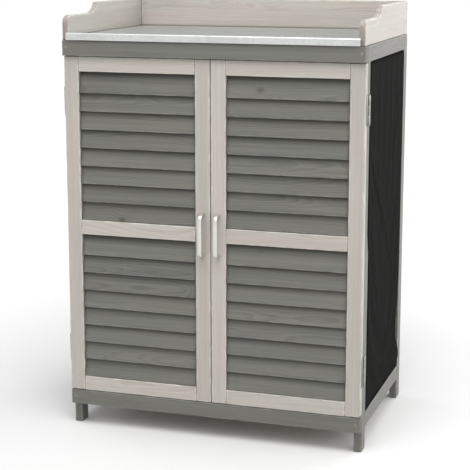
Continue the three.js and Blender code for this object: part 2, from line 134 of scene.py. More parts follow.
class Tree:
    """A material's node tree. Each call adds one node and returns its first output."""

    def __init__(self, name):
        self.material = bpy.data.materials.new(name)
        self.material.use_nodes = True
        self.nodes = self.material.node_tree.nodes
        self.links = self.material.node_tree.links
        self.shader = self.nodes["Principled BSDF"]

    def put(self, socket, value):
        if isinstance(value, bpy.types.NodeSocket):
            self.links.new(value, socket)
        else:
            socket.default_value = value

    def add(self, kind, inputs, output=0, **settings):
        node = self.nodes.new("ShaderNode" + kind)
        for key, value in settings.items():
            setattr(node, key, value)
        for key, value in inputs.items():
            self.put(node.inputs[key], value)
        return node.outputs[output]

    def attribute(self, name, output):
        return self.add("Attribute", {}, output, attribute_name=name)

    def math(self, operation, a, b=0.0, c=0.0):
        return self.add("Math", {0: a, 1: b, 2: c}, operation=operation)

    def muladd(self, a, b, c):
        return self.math("MULTIPLY_ADD", a, b, c)

    def times(self, a, b):
        return self.math("MULTIPLY", a, b)

    def minus(self, a, b):
        return self.math("SUBTRACT", a, b)

    def vector(self, operation, a, b):
        return self.add("VectorMath", {0: a, 1: b}, operation=operation)

    def scaled(self, vector, *scale):
        return self.vector("MULTIPLY", vector, scale)

    def noise(self, vector, detail=2.0, roughness=0.5, output=0):
        inputs = {"Vector": vector, "Scale": 1.0, "Detail": detail, "Roughness": roughness}
        return self.add("TexNoise", inputs, output)

    def curve(self, value, low, high, to_low=0.0, to_high=1.0):
        """Smoothly turns low..high into to_low..to_high."""
        inputs = {0: value, 1: low, 2: high, 3: to_low, 4: to_high}
        return self.add("MapRange", inputs, interpolation_type="SMOOTHSTEP")

    def mix(self, factor, a, b, blend="MIX"):
        node = self.nodes.new("ShaderNodeMix")
        node.data_type, node.blend_type = "RGBA", blend
        for socket, value in zip((node.inputs[0], node.inputs[6], node.inputs[7]), (factor, a, b)):
            self.put(socket, value)
        return node.outputs[2]

    def ramp(self, factor, stops):
        node = self.nodes.new("ShaderNodeValToRGB")
        while len(node.color_ramp.elements) < len(stops):
            node.color_ramp.elements.new(0.5)
        for element, (place, colour) in zip(node.color_ramp.elements, stops):
            element.position, element.color = place, colour
        self.put(node.inputs[0], factor)
        return node.outputs[0]

    def bump(self, height, distance, strength=1.0):
        inputs = {"Height": height, "Distance": distance, "Strength": strength}
        return self.add("Bump", inputs)

    def done(self, **values):
        """Sets the shader's sockets, whose names are given with _ for a space."""
        for key, value in values.items():
            self.put(self.shader.inputs[key.replace("_", " ")], value)
        return self.material


# ------------ materials

RING = [(0, 0), (0.5, 0.3), (0.84, 1), (0.93, 0.85), (1, 0)]  # late wood across one ring
KNOT_TINT = "76685c"
# Colour multiplied in as painted shade, where boards overhang or meet
PAINTED_SHADE_TINT = "8a877f"


def wood(name, light, dark, warm, cool, worn, end, ring_mm=3.2, contrast=1.0, roughness=0.55):
    """Stained softwood. "grain" holds the place along, across and through the board, from the
    heart of its own tree. "look" holds edge wear, the board's tone, how much is end grain, and
    how much painted shade darkens the colour where another board overhangs or meets it."""
    t = Tree(name)
    grain = t.attribute("grain", 1)
    look = t.add("SeparateColor", {0: t.attribute("look", 0)}).node.outputs
    wander = t.vector("SUBTRACT", t.noise(t.scaled(grain, 2.4, 0, 0), 1, output=1), (0.5, 0.5, 0.5))
    heart = t.vector("ADD", t.scaled(grain, 0, 1, 1), t.scaled(wander, 0, 0.045, 0.045))
    swirl = t.noise(t.scaled(grain, 7, 28, 28), 2)
    knots = t.add("TexVoronoi", {"Vector": t.scaled(grain, 8, 13, 13), "Scale": 1.0})
    cell = t.add("SeparateColor", {0: knots.node.outputs[1]})
    chosen = t.math("GREATER_THAN", cell, 0.86)
    far = t.math("ADD", knots.node.outputs[0], t.times(swirl, 0.12))
    knot = t.times(t.curve(far, 0.1, 0.2, 1, 0), chosen)
    around = t.times(t.curve(far, 0.1, 0.6, 1, 0), chosen)
    radius = t.add("VectorMath", {0: heart}, 1, operation="LENGTH")
    radius = t.muladd(swirl, 0.007, radius)
    radius = t.muladd(around, 0.011, radius)
    ring = t.math("FRACT", t.math("DIVIDE", radius, ring_mm * MM))
    late = t.ramp(ring, [(place, [depth] * 4) for place, depth in RING])
    fibre = t.noise(t.scaled(grain, 16, 750, 750), 3, 0.6)
    streak = t.noise(t.scaled(grain, 2.5, 110, 110), 2)
    blotch = t.noise(t.scaled(grain, 4.5, 17, 17), 2)

    depth = t.muladd(late, 0.36 * contrast, 0.1)
    depth = t.muladd(t.minus(fibre, 0.5), 0.75 * contrast, depth)
    depth = t.muladd(t.minus(streak, 0.45), 0.8 * contrast, depth)
    depth = t.muladd(t.minus(0.5, look["Green"]), 0.5, depth)
    colour = t.mix(t.math("MAXIMUM", depth, 0.0), srgb(light), srgb(dark))
    tint = t.mix(t.curve(blotch, 0.36, 0.64), srgb(warm), srgb(cool))
    colour = t.mix(0.5, colour, t.mix(1.0, colour, tint, "MULTIPLY"))
    knotty = t.mix(1.0, colour, srgb(KNOT_TINT), "MULTIPLY")
    colour = t.mix(t.times(knot, 0.55), colour, knotty)
    sawn = t.times(look["Blue"], t.curve(fibre, 0.2, 0.7, 0.6, 1))
    colour = t.mix(sawn, colour, srgb(end))
    patchy = t.curve(t.noise(t.scaled(grain, 30, 160, 160), 2), 0.42, 0.62)
    wear = t.times(t.times(look["Red"], patchy), 0.55)
    colour = t.mix(wear, colour, srgb(worn))
    # Painted shade: look's fourth channel darkens the colour where a neighbouring board would shade
    # this one; the grain breaks it up a little.
    darker = t.mix(1.0, colour, srgb(PAINTED_SHADE_TINT), "MULTIPLY")
    painted_shade = t.times(t.attribute("look", 3), t.curve(streak, 0.2, 0.7, 0.75, 1))
    colour = t.mix(painted_shade, colour, darker)

    height = t.muladd(late, 0.35, t.times(fibre, 0.65))
    height = t.muladd(knot, 0.4, height)
    shine = t.muladd(fibre, 0.22, roughness - 0.11)
    return t.done(
        Base_Color=colour,
        Roughness=t.muladd(look["Blue"], 0.15, shine),
        Normal=t.bump(height, 0.22 * MM, 0.8),
    )


def steel(name, colour, dull, roughness, brushed=(40, 40, 1400), spangle=0.0, crystals=130):
    """Zinc or satin steel: fine brushing, cloudy roughness, and zinc crystals where wanted,
    so many to the metre."""
    t = Tree(name)
    grain = t.attribute("grain", 1)
    lines = t.noise(t.scaled(grain, *brushed), 3, 0.6)
    cloud = t.noise(t.scaled(grain, 14, 14, 14), 3)
    cells = t.add("TexVoronoi", {"Vector": grain, "Scale": crystals}, 1)
    crystal = t.add("SeparateColor", {0: cells})
    depth = t.muladd(t.minus(crystal, 0.5), spangle, cloud)
    tone = t.mix(t.curve(depth, 0.3, 0.7), srgb(colour), srgb(dull))
    rough = t.muladd(t.minus(depth, 0.5), 0.14, roughness)
    rough = t.muladd(t.minus(lines, 0.5), 0.12, rough)
    return t.done(
        Base_Color=tone,
        Metallic=1.0,
        Roughness=rough,
        Normal=t.bump(lines, 0.03 * MM, 0.6),
    )


def woven(name, colour, thread, pitch_mm=0.9):
    """Plain-woven polyester, with its threads along "grain" X and Y."""
    t = Tree(name)
    grain = t.attribute("grain", 1)
    turns = t.scaled(grain, *[2 * math.pi / (pitch_mm * MM)] * 3)
    parts = t.add("SeparateXYZ", {0: turns}).node.outputs
    warp, weft = (t.math("SINE", parts[axis]) for axis in ("X", "Y"))
    over = t.times(warp, weft)
    slub = t.noise(t.scaled(grain, 500, 60, 60), 2)
    dust = t.noise(t.scaled(grain, 9, 9, 9), 4, 0.6)
    weave = t.muladd(over, 0.35, t.times(slub, 0.7))
    tone = t.mix(t.curve(weave, -0.2, 0.9), srgb(colour), srgb(thread))
    tone = t.mix(t.curve(dust, 0.5, 0.85, 0, 0.25), tone, srgb("2b2b2a"))
    # Painted shade: the cloth turns near-black along its edges, beside the frame.
    tone = t.mix(t.attribute("look", 3), tone, srgb("070707"))
    return t.done(
        Base_Color=tone,
        Roughness=t.muladd(slub, 0.2, 0.75),
        IOR=1.06,
        Normal=t.bump(weave, 0.12 * MM, 0.7),
    )


def plastic(name, colour):
    t = Tree(name)
    grain = t.attribute("grain", 1)
    cloud = t.noise(t.scaled(grain, 60, 60, 60), 2)
    texture = t.noise(t.scaled(grain, 1800, 1800, 1800), 2)
    tone = t.mix(t.times(cloud, 0.25), srgb(colour), srgb("c8c6bc"))
    return t.done(
        Base_Color=tone,
        Roughness=t.muladd(cloud, 0.2, 0.35),
        Normal=t.bump(texture, 0.04 * MM, 0.5),
    )


MATERIALS = {
    "pale_wood": wood(
        "pale stained wood", "aca8a3", "87827c", "f5e9e4", "eaece6", "c9c6c1", "786c64",
        contrast=0.8, roughness=0.44,
    ),
    "grey_wood": wood(
        "grey stained wood", "666560", "42413c", "f5efe8", "e8f2ea", "807f7a", "52514b",
        contrast=0.95, roughness=0.44,
    ),
    "raw_wood": wood(
        "raw fir", "c2bbb0", "978d80", "f8ece2", "ecf0e6", "d2ccc2", "8f8376",
        ring_mm=4.5, roughness=0.65,
    ),
    "galvanised_sheet": steel("galvanised sheet", "cccecb", "c2c4c2", 0.47, (1500, 30, 30), 0.25),
    "satin_metal": steel("satin nickel", "dcdad6", "cfcdc9", 0.46),
    "hinge_metal": steel("zinc plate", "a9aaa5", "868782", 0.46, spangle=0.16, crystals=450),
    "screw_metal": steel("dull screw", "a59d89", "7c7466", 0.5, spangle=0.2, crystals=600),
    # The side screws' darker metal is a dull finish darkened further as painted shade of their
    # countersinks.
    "dark_metal": steel("dark screw with painted shade", "6f6c66", "4a4843", 0.55, spangle=0.2, crystals=600),
    "black_fabric": woven("black polyester", "101010", "242423"),
    "white_plastic": plastic("white plastic", "e4e3dc"),
}


# ------------ meshes


class Shell:
    """Closed surface: points, faces, the place in its own grain, and edge wear with tone."""

    def __init__(self, points, faces, grain, wear=None, end=None, tone=0.5):
        count = len(points)
        self.points = np.array(points, float)
        self.faces = faces
        self.grain = np.array(grain, float)
        wear = np.zeros(count) if wear is None else wear
        end = np.zeros(count) if end is None else end
        self.look = np.column_stack([wear, np.full(count, tone), end, np.zeros(count)])

    def moved(self, matrix):
        turn, shift = np.array(matrix.to_3x3()), np.array(matrix.translation)
        self.points = self.points @ turn.T + shift
        return self


def added(name, data):
    made = bpy.data.objects.new(name, data)
    bpy.context.scene.collection.objects.link(made)
    return made


def piece(name, shells, slot, body, replaces=(), finish=None):
    """One mesh object from its shells, with its material, body and the CAD nodes it stands for."""
    shells = [shells] if isinstance(shells, Shell) else shells
    faces, start = [], 0
    for shell in shells:
        faces += [[start + i for i in face] for face in shell.faces]
        start += len(shell.points)
    mesh = bpy.data.meshes.new(name)
    mesh.from_pydata(np.vstack([s.points for s in shells]).tolist(), [], faces)
    grain = mesh.attributes.new("grain", "FLOAT_VECTOR", "POINT")
    grain.data.foreach_set("vector", np.vstack([s.grain for s in shells]).ravel())
    look = mesh.attributes.new("look", "FLOAT_COLOR", "POINT")
    look.data.foreach_set("color", np.vstack([s.look for s in shells]).ravel())
    mesh.materials.append(MATERIALS[finish or slot])
    mesh.shade_smooth()
    mesh.validate()
    made = added(name, mesh)
    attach(made, body)
    if replaces:
        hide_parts(*replaces)
    return made


def own_tree(points, along):
    """Places along, across and through a board, measured from the heart of a random tree."""
    size = np.ptp(points, axis=0)
    others = sorted((a for a in range(3) if a != along), key=lambda a: -size[a])
    order = [along, *others]
    middle = (points.max(0) + points.min(0)) / 2
    angle = random.uniform(0.15, 1.4) + random.choice([0, math.pi])
    away = random.uniform(25, 60) * MM
    shift = [random.uniform(0, 30), away * math.cos(angle), away * math.sin(angle)]
    return (points - middle)[:, order] + shift


def grid_lines(low, high, radius, pitch):
    """Grid lines along one side of a board, closer together where its edges are rounded."""
    slopes = [math.tan(math.pi / 4 * (1 - i / EDGE_STEPS)) for i in range(EDGE_STEPS + 1)]
    steps = [radius * (1 - slope) for slope in slopes]
    if high - low > 2 * (radius + WEAR_BAND) + MM:
        steps.append(radius + WEAR_BAND)
    inner = high - low - 2 * steps[-1]
    cells = max(1, round(inner / pitch))
    middle = [low + steps[-1] + inner * i / cells for i in range(1, cells)]
    return [low + s for s in steps] + middle + [high - s for s in reversed(steps)]


def board(low, high, along=None, radius=EDGE_R, cut=None, pitch=GRID_PITCH):
    """A board with rounded edges and corners between two corners of its box."""
    low, high = np.array(low, float), np.array(high, float)
    size = high - low
    along = int(np.argmax(size)) if along is None else along
    radius = min(radius, size.min() / 2 * 0.95)
    lines = [grid_lines(low[a], high[a], radius, pitch) for a in range(3)]
    index, points, faces = {}, [], []

    def corner(key):
        if key not in index:
            index[key] = len(points)
            points.append([lines[a][key[a]] for a in range(3)])
        return index[key]

    for axis in range(3):
        b, c = (axis + 1) % 3, (axis + 2) % 3
        for end in (0, len(lines[axis]) - 1):
            for i in range(len(lines[b]) - 1):
                for j in range(len(lines[c]) - 1):
                    face = []
                    for step_b, step_c in ((0, 0), (1, 0), (1, 1), (0, 1)):
                        key = [0, 0, 0]
                        key[axis], key[b], key[c] = end, i + step_b, j + step_c
                        face.append(corner(tuple(key)))
                    faces.append(face if end else face[::-1])
    points = np.array(points)
    near = np.sort(np.minimum(points - low, high - points), axis=1)[:, 1]
    wear = np.clip(1 - near / (radius + WEAR_BAND), 0, 1)
    inner = np.clip(points, low + radius, high - radius)
    normal = points - inner
    normal /= np.linalg.norm(normal, axis=1, keepdims=True)
    points = inner + normal * radius
    if cut:
        points = cut(points)
    tone = random.uniform(*TONES)
    return Shell(points, faces, own_tree(points, along), wear, np.abs(normal[:, along]), tone)


def arc(centre, radius, start, stop, steps):
    """Points on an arc from start to stop, in degrees."""
    angles = np.radians(np.linspace(start, stop, steps + 1))
    return [(centre[0] + radius * math.cos(a), centre[1] + radius * math.sin(a)) for a in angles]


def softened(corners, radius, steps=3):
    """A closed outline with each marked corner turned into a small arc."""
    outline = []
    for i, (point, sharp) in enumerate(corners):
        if not sharp:
            outline.append(point)
            continue
        here = Vector(point)
        before = (Vector(corners[i - 1][0]) - here).normalized()
        after = (Vector(corners[(i + 1) % len(corners)][0]) - here).normalized()
        half = before.angle(after) / 2
        reach = radius / math.tan(half)
        centre = here + (before + after).normalized() * (radius / math.sin(half))
        start = here + before * reach - centre
        turn = (math.pi - 2 * half) / steps
        turn *= math.copysign(1, start.cross(here + after * reach - centre))
        for k in range(steps + 1):
            spoke = Matrix.Rotation(turn * k, 2) @ start
            outline.append(tuple(centre + spoke))
    return outline


def band(first, second, count):
    """Faces between two rings of points, given where each ring starts."""
    pairs = [(i, (i + 1) % count) for i in range(count)]
    return [[first + i, first + j, second + j, second + i] for i, j in pairs]


def slab(outline, thickness, radius=EDGE_R):
    """A board cut to an outline in Y and Z, centred on X = 0, with rounded edges."""
    outline = np.array(outline)
    ahead = np.roll(outline, -1, axis=0) - outline
    ahead /= np.linalg.norm(ahead, axis=1, keepdims=True)
    side = np.column_stack([ahead[:, 1], -ahead[:, 0]])
    both = side + np.roll(side, 1, axis=0)
    outward = both / (1 + (side * np.roll(side, 1, axis=0)).sum(1))[:, None]
    turns = [math.pi / 2 * i / EDGE_STEPS for i in range(EDGE_STEPS + 1)]
    half = thickness / 2
    rings = [(half - radius + radius * math.sin(a), radius * (1 - math.cos(a)), a) for a in turns]
    rings.append((half, radius + SLAB_WEAR, math.pi / 2))
    rings = [(-x, inset, a) for x, inset, a in reversed(rings)] + rings
    count = len(outline)
    points, wear, end = [], [], []
    for x, inset, angle in rings:
        flat = outline - outward * inset
        points.append(np.column_stack([np.full(count, x), flat]))
        end.append(np.abs(outward[:, 0]) * math.cos(angle))
        wear.append((1 - max(0.0, inset - radius) / SLAB_WEAR) * (1 - 0.9 * end[-1]))
    faces = []
    for r in range(len(rings) - 1):
        faces += band(r * count, (r + 1) * count, count)
    last = (len(rings) - 1) * count
    faces.append([last + i for i in range(count)])
    faces.append(list(reversed(range(count))))
    points = np.vstack(points)
    tone = random.uniform(*TONES)
    return Shell(points, faces, own_tree(points, 1), np.hstack(wear), np.hstack(end), tone)


def lathe(profile, segments=24):
    """A solid turned about Z from a closed profile of (radius, height) on or off the axis."""
    rings, points = [], []
    for radius, z in profile:
        if radius < 1e-7:
            rings.append([len(points)] * segments)
            points.append((0, 0, z))
            continue
        rings.append(list(range(len(points), len(points) + segments)))
        for i in range(segments):
            angle = 2 * math.pi * i / segments
            points.append((radius * math.cos(angle), radius * math.sin(angle), z))
    on_axis = profile[0][0] < 1e-7
    pairs = list(zip(rings, rings[1:])) + ([] if on_axis else [(rings[-1], rings[0])])
    faces = []
    for lower, upper in pairs:
        for i in range(segments):
            j = (i + 1) % segments
            face = [lower[i], lower[j], upper[j], upper[i]]
            face = [v for n, v in enumerate(face) if v not in face[:n]]
            if len(face) > 2:
                faces.append(face)
    return Shell(points, faces, points)


def swept(section, stations, normals):
    """A bar with a fixed section, carried along stations in Y and Z, with closed ends.
    The section is given across X and along each station's normal."""
    points, count = [], len(section)
    for (y, z), (ny, nz) in zip(stations, normals):
        points += [(a, y + b * ny, z + b * nz) for a, b in section]
    faces = []
    for s in range(len(stations) - 1):
        faces += band((s + 1) * count, s * count, count)
    last = (len(stations) - 1) * count
    faces.append(list(range(count)))
    faces.append([last + i for i in reversed(range(count))])
    return Shell(points, faces, points)


def sheet_shell(top, under, kept=None):
    """A thin plate from two grids of points, leaving out the cells where kept is False."""
    rows, columns = top.shape[:2]
    kept = np.ones((rows - 1, columns - 1), bool) if kept is None else kept
    index, points, faces = {}, [], []

    def at(layer, i, j):
        key = (layer, i, j)
        if key not in index:
            index[key] = len(points)
            points.append((top if layer else under)[i, j])
        return index[key]

    for i in range(rows - 1):
        for j in range(columns - 1):
            if not kept[i][j]:
                continue
            ring = [(i, j), (i + 1, j), (i + 1, j + 1), (i, j + 1)]
            faces.append([at(1, *p) for p in ring])
            faces.append([at(0, *p) for p in reversed(ring)])
            beside = [(i, j - 1), (i + 1, j), (i, j + 1), (i - 1, j)]
            for n, (a, b) in enumerate(beside):
                if 0 <= a < rows - 1 and 0 <= b < columns - 1 and kept[a][b]:
                    continue
                p, q = ring[n], ring[(n + 1) % 4]
                faces.append([at(1, *q), at(1, *p), at(0, *p), at(0, *q)])
    return Shell(points, faces, points)


# ------------ frame and inside


def plank(node, slot, body, **options):
    """A board in place of a CAD board."""
    low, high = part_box(node)
    return piece(node + ".board", board(low, high, **options), slot, body, [node])


def make_frame():
    for side in SIDES:
        for place in ("front", "rear"):
            plank(f"post_{place}_{side}", "grey_wood", "cabinet", radius=POST_EDGE_R)
    for level in ("bottom", "top"):
        for place in ("front", "rear", "left", "right"):
            plank(f"{level}_rail_{place}", "grey_wood", "cabinet")
    plank("worktop_crossbar", "grey_wood", "cabinet")


def staved(node, slot):
    """A panel of boards glued side by side, with fine grooves between them."""
    low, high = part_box(node)
    width = (high.y - low.y) / STAVES
    shells = []
    for i in range(STAVES):
        start = (low.x, low.y + i * width, low.z)
        stop = (high.x, low.y + (i + 1) * width, high.z)
        shells.append(board(start, stop, along=0, radius=0.5 * MM))
    piece(node + ".staves", shells, slot, "cabinet", [node])


def make_inside():
    staved("floor_panel", "raw_wood")
    staved("middle_shelf", "raw_wood")
    plank("worktop_board", "raw_wood", "cabinet", radius=0.8 * MM)
    for side in SIDES:
        plank(f"floor_cleat_{side}", "raw_wood", "cabinet")
        plank(f"shelf_bar_{side}", "raw_wood", "cabinet")


# ------------ splash boards and worktop


def splash_outline(low, high):
    """Side view: a low front step with a round nose, a cove, and the full height behind."""
    front, rear, foot, top = low.y, high.y, low.z, high.z
    step = foot + SPLASH_LOW
    cove = (front + COVE_START, step + COVE_R)
    end = math.degrees(math.acos(1 - (top - step) / COVE_R))
    curve = arc(cove, COVE_R, -90 + end, -90, 14)
    nose = arc((front + NOSE_R, step - NOSE_R), NOSE_R, 90, 180, 10)
    corners = [((front, foot), True), ((rear, foot), True), ((rear, top), True)]
    corners += [(curve[0], True)] + [(p, False) for p in curve[1:] + nose]
    return softened(corners, SLAB_CORNER_R)


def darken_seam(made, foot):
    """Cuts a thin band into the inner face of a side board and darkens its lower edge, where it
    meets the sheet, with painted shade.
    """
    mesh, close = made.data, 0.01 * MM
    middle = abs(sum(v.co.x for v in mesh.vertices)) / len(mesh.vertices)
    cuts = bmesh.new()
    cuts.from_mesh(mesh)
    for height in (foot, foot + SEAM_H):
        everything = cuts.verts[:] + cuts.edges[:] + cuts.faces[:]
        bmesh.ops.bisect_plane(cuts, geom=everything, plane_co=(0, 0, height), plane_no=(0, 0, 1))
    cuts.to_mesh(mesh)
    cuts.free()
    look = mesh.attributes["look"].data
    for vertex in mesh.vertices:
        if abs(vertex.co.z - foot) < close and abs(vertex.co.x) < middle:
            look[vertex.index].color = (*look[vertex.index].color[:3], 1)


def make_splash():
    sheet_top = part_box("worktop_board")[1].z + SHEET_T
    for name in SIDES:
        node = f"splash_board_{name}"
        low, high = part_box(node)
        shell = slab(splash_outline(low, high), high.x - low.x)
        shell.moved(Matrix.Translation(((low.x + high.x) / 2, 0, 0)))
        # Painted shade along the bottom edge, where the board sits on the top rail.
        shell.look[:, 3] = shell.points[:, 2] < low.z + EDGE_R
        darken_seam(piece(node + ".board", shell, "pale_wood", "cabinet", [node]), sheet_top)
    node = "splash_board_rear"
    low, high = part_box(node)
    shell = board(low, high, pitch=SEAM_H)
    # Painted shade on the front face, just above the sheet, fading upwards.
    above_sheet = shell.points[:, 2] - sheet_top
    in_front = shell.points[:, 1] < (low.y + high.y) / 2
    shell.look[:, 3] = in_front * np.clip(1.2 - above_sheet / SEAM_H, 0, 1)
    piece(node + ".board", shell, "pale_wood", "cabinet", [node])


def make_worktop():
    """The sheet: a flat top that turns up into a rolled crest and down to a folded hem."""
    low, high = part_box("worktop_sheet")
    board_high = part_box("worktop_board")[1]
    top_z = board_high.z + CLEAR + SHEET_T
    crest = (low.y + CREST_R, high.z - CREST_R)
    fillet = (low.y + 2 * CREST_R + LIP_FILLET_R, top_z + LIP_FILLET_R)
    path = [(high.y, top_z)]
    path += [(high.y + (fillet[0] - high.y) * i / 12, top_z) for i in range(1, 12)]
    path += arc(fillet, LIP_FILLET_R, -90, -180, 5)
    path += arc(crest, CREST_R, 0, 180, 12)
    apron_foot = low.z + 1.6 * MM
    path += [(low.y, crest[1] + (apron_foot - crest[1]) * i / 5) for i in range(1, 6)]
    path += arc((low.y + LIP_FOLD_R, low.z + LIP_FOLD_R), LIP_FOLD_R, 180, 290, 6)
    path = np.array(path)
    along = np.gradient(path, axis=0)
    along /= np.linalg.norm(along, axis=1, keepdims=True)
    inward = np.column_stack([-along[:, 1], along[:, 0]])
    under = path + inward * SHEET_T
    under[:, 1] = np.maximum(under[:, 1], low.z)

    reach, between, end_cell = high.x, board_high.x, 2 * MM
    inner = np.linspace(-between, between, 31)
    xs = np.concatenate([[-reach, -reach + end_cell], inner, [reach - end_cell, reach]])
    side_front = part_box("splash_board_left")[0].y
    ahead = path[:, 0] < side_front - CLEAR

    def grid(line):
        points = np.zeros((len(line), len(xs), 3))
        points[:, :, 0] = xs
        points[:, :, 1:] = line[:, None, :]
        return points

    kept = np.ones((len(path) - 1, len(xs) - 1), bool)
    for row in range(len(path) - 1):
        if not (ahead[row] and ahead[row + 1]):
            kept[row, :2] = kept[row, -2:] = False
    shell = sheet_shell(grid(path), grid(under), kept)
    piece("worktop_sheet.pressed", shell, "galvanised_sheet", "cabinet", ["worktop_sheet"])


# ------------ doors


def rounded_foot(low, high, side):
    """Moves points of a hinge stile so that its lower outer corner is a larger arc."""
    outer = high.x if side > 0 else low.x
    centre = np.array([outer - side * STILE_FOOT_R, low.z + STILE_FOOT_R])

    def cut(points):
        local = (points[:, [0, 2]] - centre) * [side, -1]
        square = local.max(1)
        length = np.linalg.norm(local, axis=1)
        inside = (local > 0).all(1) & (length > 0)
        scale = np.where(inside, square / np.maximum(length, 1e-9), 1)
        moved = centre + local * scale[:, None] * [side, -1]
        return np.column_stack([moved[:, 0], points[:, 1], moved[:, 1]])

    return cut


def make_louvre(node, body):
    """Eight separate slats that lean back as they rise."""
    low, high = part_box(node)
    pitch = (high.z - low.z - FIRST_SLAT_SHOWS) / (SLATS - 1)
    tilt = Matrix.Rotation(-SLAT_TILT, 4, "X")
    half = (high.x - low.x) / 2
    for i in range(SLATS):
        foot = high.z - FIRST_SLAT_SHOWS - i * pitch + SLAT_T * math.sin(SLAT_TILT)
        corners = (-half, 0, 0), (half, SLAT_T, SLAT_W)
        shell = board(*corners, along=0, radius=SLAT_EDGE_R, pitch=SLAT_PITCH)
        across, up = shell.points[:, 0], shell.points[:, 2]
        # Painted shade: the upper part of each slat, under the slat above, and its ends beside the
        # stiles are darkened.
        under_next = np.clip((up - 0.45 * SLAT_W) / (0.45 * SLAT_W), 0, 1) ** 1.5
        at_ends = np.clip(1 - (half - np.abs(across)) / SHADED_SLAT_END, 0, 1) ** 2
        shell.look[:, 3] = np.maximum(under_next, 0.8 * at_ends)
        place = Matrix.Translation(((low.x + high.x) / 2, low.y, foot))
        stands_for = [node] if i == 0 else []
        piece(f"{node}.slat_{i + 1}", shell.moved(place @ tilt), "grey_wood", body, stands_for)


def make_handle(node, body):
    """A bow pull: a flattened bar with soft edges, bent back to the door at both ends."""
    low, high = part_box(node)
    width = high.x - low.x
    middle = (low.x + high.x) / 2
    half_t = HANDLE_BAR_T / 2
    out = low.y + half_t
    top, foot = high.z - half_t, low.z + half_t
    bend = HANDLE_BEND
    near_door = high.y - 3 * MM
    path = [(high.y, foot), (near_door, foot)]
    path += arc((out + bend, foot + bend), bend, 270, 180, 10)
    path += [(out, foot + bend + (top - foot - 2 * bend) * i / 8) for i in range(1, 8)]
    path += arc((out + bend, top - bend), bend, 180, 90, 10)
    path += [(near_door, top), (high.y, top)]
    along = np.gradient(np.array(path), axis=0)
    along /= np.linalg.norm(along, axis=1, keepdims=True)
    normals = np.column_stack([-along[:, 1], along[:, 0]])
    section = []
    for i in range(HANDLE_SIDES):
        angle = 2 * math.pi * i / HANDLE_SIDES
        c, s = math.cos(angle), math.sin(angle)
        squared = (abs(c) ** SQUARENESS + abs(s) ** SQUARENESS) ** (-1 / SQUARENESS)
        section.append((width / 2 * c * squared, half_t * s * squared))
    shell = swept(section, path, normals).moved(Matrix.Translation((middle, 0, 0)))
    piece(node + ".bow", shell, "satin_metal", body, [node])


def make_strike(node, body):
    low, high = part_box(node)
    middle = ((low.x + high.x) / 2, high.y, (low.z + high.z) / 2)
    shells = [board(low, high, radius=0.25 * MM), screw(middle, (0, 1, 0), SMALL_SCREW_R)]
    piece(node + ".plate", shells, "hinge_metal", body, [node])


def make_door(name, side):
    body = f"{name}_door"
    for part in ("meeting_stile", "bottom_rail", "middle_rail", "top_rail"):
        plank(f"{body}_{part}", "pale_wood", body)
    stile = f"{body}_hinge_stile"
    low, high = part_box(stile)
    plank(stile, "pale_wood", body, radius=STILE_EDGE_R, cut=rounded_foot(low, high, side))
    for part in ("lower_louvre", "upper_louvre"):
        make_louvre(f"{body}_{part}", body)
    make_handle(f"{body}_handle", body)
    make_strike(f"{body}_strike", body)


# ------------ hinges, screws, catches


def screw(place, facing, radius=FRAME_SCREW_R):
    """A countersunk screw head with a cross recess, facing out along a direction."""
    rings, segments = 9, 32
    slot, reach, depth = radius * 0.16, radius * 0.58, radius * 0.34
    dome, narrow = radius * 0.16, radius * 0.8
    points, faces = [(0, 0, dome - depth)], []
    for r in range(1, rings + 1):
        distance = radius * r / rings
        for i in range(segments):
            angle = 2 * math.pi * i / segments
            x, y = distance * math.cos(angle), distance * math.sin(angle)
            z = dome * (1 - (distance / radius) ** 2)
            if min(abs(x), abs(y)) < slot and max(abs(x), abs(y)) < reach:
                z -= depth
            points.append((x, y, z))
    neck = len(points)
    for i in range(segments):
        angle = 2 * math.pi * i / segments
        points.append((narrow * math.cos(angle), narrow * math.sin(angle), -depth * 1.4))
        faces.append([0, 1 + i, 1 + (i + 1) % segments])
    for r in range(rings):
        for i in range(segments):
            a, b = 1 + r * segments + i, 1 + r * segments + (i + 1) % segments
            faces.append([a, a + segments, b + segments, b])
    faces.append([neck + i for i in reversed(range(segments))])
    shell = Shell(points, faces, points)
    turn = Vector((0, 0, 1)).rotation_difference(Vector(facing)).to_matrix().to_4x4()
    spin = Matrix.Rotation(random.uniform(0, math.pi), 4, "Z")
    return shell.moved(Matrix.Translation(place) @ turn @ spin)


def leaf_plate(low, high):
    """A hinge leaf: a thin plate with round corners, in the plane Y and Z."""
    corners = [(low.y, low.z), (high.y, low.z), (high.y, high.z), (low.y, high.z)]
    outline = softened([(c, True) for c in corners], LEAF_CORNER_R, 4)
    shell = slab(outline, high.x - low.x, radius=0.4 * MM)
    return shell.moved(Matrix.Translation(((low.x + high.x) / 2, 0, 0)))


def knuckle(axis, low, high):
    soft = 0.35 * MM
    profile = [
        (BORE_R, low), (KNUCKLE_R - soft, low), (KNUCKLE_R, low + soft),
        (KNUCKLE_R, high - soft), (KNUCKLE_R - soft, high), (BORE_R, high),
    ]
    return lathe(profile).moved(Matrix.Translation((axis.x, axis.y, 0)))


